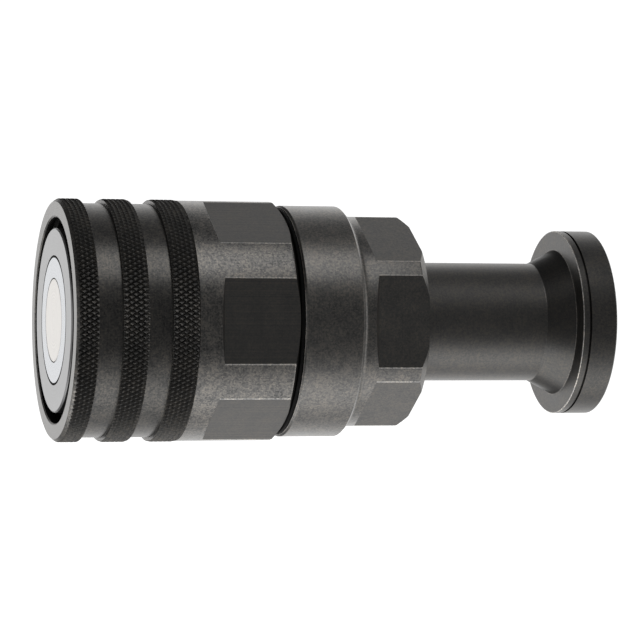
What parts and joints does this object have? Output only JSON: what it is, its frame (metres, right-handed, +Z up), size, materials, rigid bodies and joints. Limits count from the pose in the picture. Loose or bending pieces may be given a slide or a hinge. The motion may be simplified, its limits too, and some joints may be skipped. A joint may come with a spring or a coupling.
{
  "type": "quick disconnect coupler",
  "caption": "Screw-to-connect flat-face hydraulic coupler, female half, with a knurled turning sleeve, flush valve and flanged port.",
  "frame": {"origin": "centre of the flange head's sealing face, where the port bore opens", "axes": "+X out of the port along the coupler's axis; the flush coupling face points to -X; +Z up; one spanner flat faces -Y"},
  "size_m": [0.1607, 0.0694, 0.0694],
  "materials": {
    "phosphated_steel": "dark phosphated, satin",
    "machined_steel": "bare, finely turned",
    "plated_steel": "zinc plated, bright",
    "nitrile_rubber": "matt black",
    "backup_plastic": "off-white, satin",
    "spring_steel": "drawn wire, satin"
  },
  "bodies": {
    "coupler_body": {"thrust_washer": "machined_steel", "sleeve_wiper_ring": "nitrile_rubber", "sleeve_friction_ring": "nitrile_rubber", "front_barrel": "phosphated_steel", "barrel_o_ring": "nitrile_rubber", "main_body": "phosphated_steel", "flange_adapter": "phosphated_steel", "adapter_o_ring": "nitrile_rubber", "adapter_backup_ring": "backup_plastic", "flange_o_ring": "nitrile_rubber", "valve_spring": "spring_steel", "valve_stem": "plated_steel", "stem_cap": "plated_steel", "stem_seal": "nitrile_rubber", "stem_spider": "machined_steel", "stem_washer": "plated_steel", "stem_nut": "plated_steel", "relief_spring": "spring_steel"},
    "sleeve": {"locking_sleeve": "phosphated_steel"},
    "valve": {"valve_sleeve": "machined_steel", "valve_sleeve_o_ring": "nitrile_rubber", "valve_sleeve_backup_ring": "backup_plastic"},
    "plunger": {"relief_plunger": "machined_steel", "relief_seal": "nitrile_rubber"}
  },
  "joints": [
    {"name": "sleeve_turn", "type": "hinge", "parent": "coupler_body", "child": "sleeve", "pos_m": [-0.13, 0, 0], "axis": [1, 0, 0], "continuous": true},
    {"name": "valve_slide", "type": "slide", "parent": "coupler_body", "child": "valve", "axis": [1, 0, 0], "range_m": [0, 0.014], "stiffness_N_per_m": 6000, "springref_m": -0.008, "deforming": ["valve_spring"]},
    {"name": "relief_slide", "type": "slide", "parent": "coupler_body", "child": "plunger", "axis": [1, 0, 0], "range_m": [0, 0.0025], "stiffness_N_per_m": 8000, "springref_m": -0.003, "deforming": ["relief_spring"]}
  ]
}
